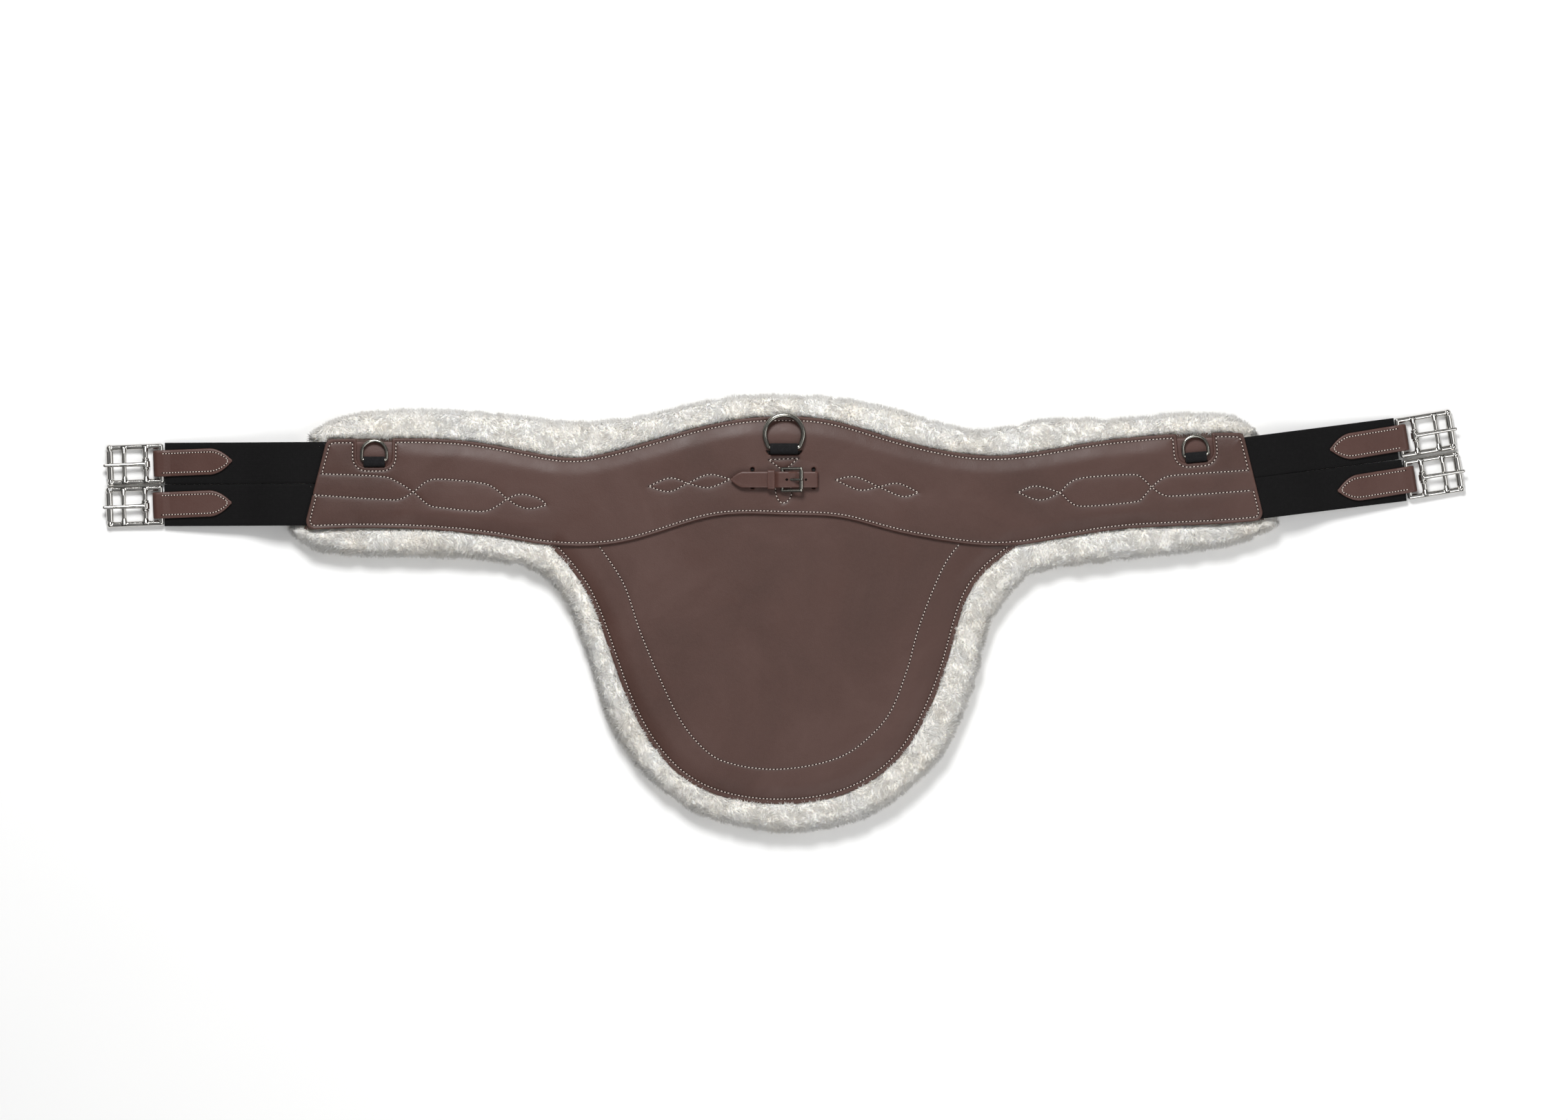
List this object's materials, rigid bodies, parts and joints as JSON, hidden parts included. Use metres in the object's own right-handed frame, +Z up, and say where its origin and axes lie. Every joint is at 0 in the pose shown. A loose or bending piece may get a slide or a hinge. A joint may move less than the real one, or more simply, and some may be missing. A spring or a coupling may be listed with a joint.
{
  "type": "saddle girth",
  "caption": "Padded leather belly-guard saddle girth with elastic ends, roller buckles, D-rings, a small buckled strap and a sheepskin lining.",
  "frame": {"origin": "on the surface the girth lies on, at the middle of its overall length and depth", "axes": "+X along the girth's length, +Y from the belly guard to the front edge, +Z up out of the outer leather"},
  "size_m": [1.2711, 0.4035, 0.0429],
  "materials": {
    "brown_leather": "smooth dark havana leather with a soft sheen",
    "lining_leather": "matt lining leather",
    "sheep_wool": "clipped cream sheepskin wool",
    "sheep_hide": "suede hide of the sheepskin",
    "hook_tape": "hook-and-loop tape",
    "foam_padding": "closed-cell foam",
    "black_elastic": "ribbed black woven elastic",
    "black_webbing": "black nylon webbing",
    "core_webbing": "woven reinforcing webbing",
    "antique_nickel": "slightly darkened polished nickel",
    "bright_nickel": "polished bright nickel"
  },
  "bodies": {
    "girth": {"sheepskin_fleece": "sheep_wool", "sheepskin_hide": "sheep_hide", "hook_and_loop_tapes": "hook_tape", "inner_lining": "lining_leather", "reinforcing_webbing": "core_webbing", "girth_foam": "foam_padding", "left_end_backing": "core_webbing", "left_end_patch": "brown_leather", "right_end_backing": "core_webbing", "right_end_patch": "brown_leather", "girth_face_leather": "brown_leather", "belly_guard_leather": "brown_leather", "belly_guard_foam": "foam_padding", "left_upper_elastic_anchor": "black_elastic", "left_lower_elastic_anchor": "black_elastic", "right_upper_elastic_anchor": "black_elastic", "right_lower_elastic_anchor": "black_elastic", "centre_ring_webbing": "black_webbing", "left_ring_webbing": "black_webbing", "right_ring_webbing": "black_webbing", "clip_strap": "brown_leather"},
    "left_upper_strap": {"left_upper_elastic": "black_elastic"},
    "left_upper_chape_end": {"left_upper_chape": "brown_leather"},
    "left_upper_buckle": {"left_upper_buckle_frame": "bright_nickel"},
    "left_upper_tongue": {"left_upper_buckle_tongue": "bright_nickel"},
    "left_upper_roller": {"left_upper_buckle_roller": "bright_nickel"},
    "left_lower_strap": {"left_lower_elastic": "black_elastic"},
    "left_lower_chape_end": {"left_lower_chape": "brown_leather"},
    "left_lower_buckle": {"left_lower_buckle_frame": "bright_nickel"},
    "left_lower_tongue": {"left_lower_buckle_tongue": "bright_nickel"},
    "left_lower_roller": {"left_lower_buckle_roller": "bright_nickel"},
    "right_upper_strap": {"right_upper_elastic": "black_elastic"},
    "right_upper_chape_end": {"right_upper_chape": "brown_leather"},
    "right_upper_buckle": {"right_upper_buckle_frame": "bright_nickel"},
    "right_upper_tongue": {"right_upper_buckle_tongue": "bright_nickel"},
    "right_upper_roller": {"right_upper_buckle_roller": "bright_nickel"},
    "right_lower_strap": {"right_lower_elastic": "black_elastic"},
    "right_lower_chape_end": {"right_lower_chape": "brown_leather"},
    "right_lower_buckle": {"right_lower_buckle_frame": "bright_nickel"},
    "right_lower_tongue": {"right_lower_buckle_tongue": "bright_nickel"},
    "right_lower_roller": {"right_lower_buckle_roller": "bright_nickel"},
    "centre_ring": {"centre_d_ring": "antique_nickel"},
    "left_ring": {"left_d_ring": "antique_nickel"},
    "right_ring": {"right_d_ring": "antique_nickel"},
    "clip_buckle": {"clip_buckle_frame": "bright_nickel"},
    "clip_tongue": {"clip_buckle_tongue": "bright_nickel"},
    "clip_roller": {"clip_buckle_roller": "bright_nickel"},
    "keeper": {"clip_keeper": "brown_leather"}
  },
  "joints": [
    {"name": "left_upper_strap_flex", "type": "hinge", "parent": "girth", "child": "left_upper_strap", "pos_m": [-0.44, 0.1403, 0.0245], "axis": [-0.0035, 1, 0], "range_deg": [-8, 160]},
    {"name": "left_upper_elastic_stretch", "type": "slide", "parent": "left_upper_strap", "child": "left_upper_chape_end", "axis": [-0.9945, -0.0035, -0.1045], "range_m": [0, 0.03], "stiffness_N_per_m": 2600, "deforming": ["left_upper_elastic"]},
    {"name": "left_upper_buckle_swing", "type": "hinge", "parent": "left_upper_chape_end", "child": "left_upper_buckle", "pos_m": [-0.5813, 0.13981, 0.0054], "axis": [-0.0384, 0.9993, 0], "range_deg": [-60, 60]},
    {"name": "left_upper_tongue_swing", "type": "hinge", "parent": "left_upper_buckle", "child": "left_upper_tongue", "pos_m": [-0.59588, 0.13925, 0.00497], "axis": [-0.0384, 0.9993, 0], "range_deg": [0, 115]},
    {"name": "left_upper_roller_spin", "type": "hinge", "parent": "left_upper_buckle", "child": "left_upper_roller", "pos_m": [-0.62924, 0.13797, 0.00398], "axis": [0.0384, -0.9993, 0], "continuous": true},
    {"name": "left_lower_strap_flex", "type": "hinge", "parent": "girth", "child": "left_lower_strap", "pos_m": [-0.4504, 0.1012, 0.0245], "axis": [-0.0035, 1, 0], "range_deg": [-8, 160]},
    {"name": "left_lower_elastic_stretch", "type": "slide", "parent": "left_lower_strap", "child": "left_lower_chape_end", "axis": [-0.9945, -0.0035, -0.1045], "range_m": [0, 0.03], "stiffness_N_per_m": 2600, "deforming": ["left_lower_elastic"]},
    {"name": "left_lower_buckle_swing", "type": "hinge", "parent": "left_lower_chape_end", "child": "left_lower_buckle", "pos_m": [-0.5817, 0.10074, 0.0054], "axis": [-0.0384, 0.9993, 0], "range_deg": [-60, 60]},
    {"name": "left_lower_tongue_swing", "type": "hinge", "parent": "left_lower_buckle", "child": "left_lower_tongue", "pos_m": [-0.59628, 0.10018, 0.00497], "axis": [-0.0384, 0.9993, 0], "range_deg": [0, 115]},
    {"name": "left_lower_roller_spin", "type": "hinge", "parent": "left_lower_buckle", "child": "left_lower_roller", "pos_m": [-0.62964, 0.0989, 0.00398], "axis": [0.0384, -0.9993, 0], "continuous": true},
    {"name": "right_upper_strap_flex", "type": "hinge", "parent": "girth", "child": "right_upper_strap", "pos_m": [0.4376, 0.1457, 0.0245], "axis": [0.1288, -0.9917, 0], "range_deg": [-8, 160]},
    {"name": "right_upper_elastic_stretch", "type": "slide", "parent": "right_upper_strap", "child": "right_upper_chape_end", "axis": [0.9862, 0.1281, -0.1045], "range_m": [0, 0.03], "stiffness_N_per_m": 2600, "deforming": ["right_upper_elastic"]},
    {"name": "right_upper_buckle_swing", "type": "hinge", "parent": "right_upper_chape_end", "child": "right_upper_buckle", "pos_m": [0.57485, 0.16353, 0.0054], "axis": [0.1633, -0.9866, 0], "range_deg": [-60, 60]},
    {"name": "right_upper_tongue_swing", "type": "hinge", "parent": "right_upper_buckle", "child": "right_upper_tongue", "pos_m": [0.58925, 0.16591, 0.00497], "axis": [0.1633, -0.9866, 0], "range_deg": [0, 115]},
    {"name": "right_upper_roller_spin", "type": "hinge", "parent": "right_upper_buckle", "child": "right_upper_roller", "pos_m": [0.62218, 0.17136, 0.00398], "axis": [-0.1633, 0.9866, 0], "continuous": true},
    {"name": "right_lower_strap_flex", "type": "hinge", "parent": "girth", "child": "right_lower_strap", "pos_m": [0.4468, 0.108, 0.0245], "axis": [0.1219, -0.9925, 0], "range_deg": [-8, 160]},
    {"name": "right_lower_elastic_stretch", "type": "slide", "parent": "right_lower_strap", "child": "right_lower_chape_end", "axis": [0.9871, 0.1212, -0.1045], "range_m": [0, 0.03], "stiffness_N_per_m": 2600, "deforming": ["right_lower_elastic"]},
    {"name": "right_lower_buckle_swing", "type": "hinge", "parent": "right_lower_chape_end", "child": "right_lower_buckle", "pos_m": [0.58218, 0.12462, 0.0054], "axis": [0.1564, -0.9877, 0], "range_deg": [-60, 60]},
    {"name": "right_lower_tongue_swing", "type": "hinge", "parent": "right_lower_buckle", "child": "right_lower_tongue", "pos_m": [0.5966, 0.12691, 0.00497], "axis": [0.1564, -0.9877, 0], "range_deg": [0, 115]},
    {"name": "right_lower_roller_spin", "type": "hinge", "parent": "right_lower_buckle", "child": "right_lower_roller", "pos_m": [0.62957, 0.13213, 0.00398], "axis": [-0.1564, 0.9877, 0], "continuous": true},
    {"name": "centre_ring_swing", "type": "hinge", "parent": "girth", "child": "centre_ring", "pos_m": [0, 0.1546, 0.0339], "axis": [1, 0, 0], "range_deg": [0, 150]},
    {"name": "left_ring_swing", "type": "hinge", "parent": "girth", "child": "left_ring", "pos_m": [-0.3814, 0.143, 0.03015], "axis": [1, 0, 0], "range_deg": [0, 150]},
    {"name": "right_ring_swing", "type": "hinge", "parent": "girth", "child": "right_ring", "pos_m": [0.3834, 0.1473, 0.03015], "axis": [0.9962, 0.0872, 0], "range_deg": [0, 150]},
    {"name": "clip_buckle_lift", "type": "hinge", "parent": "girth", "child": "clip_buckle", "pos_m": [-0.0018, 0.1245, 0.0335], "axis": [0, -1, 0], "range_deg": [0, 10]},
    {"name": "clip_tongue_lift", "type": "hinge", "parent": "clip_buckle", "child": "clip_tongue", "pos_m": [-0.0018, 0.1245, 0.0335], "axis": [0, -1, 0], "range_deg": [0, 14]},
    {"name": "clip_roller_spin", "type": "hinge", "parent": "clip_buckle", "child": "clip_roller", "pos_m": [0.016, 0.1245, 0.0382], "axis": [0, 1, 0], "continuous": true},
    {"name": "keeper_slide", "type": "slide", "parent": "girth", "child": "keeper", "axis": [1, 0, 0], "range_m": [-0.01, 0]}
  ]
}
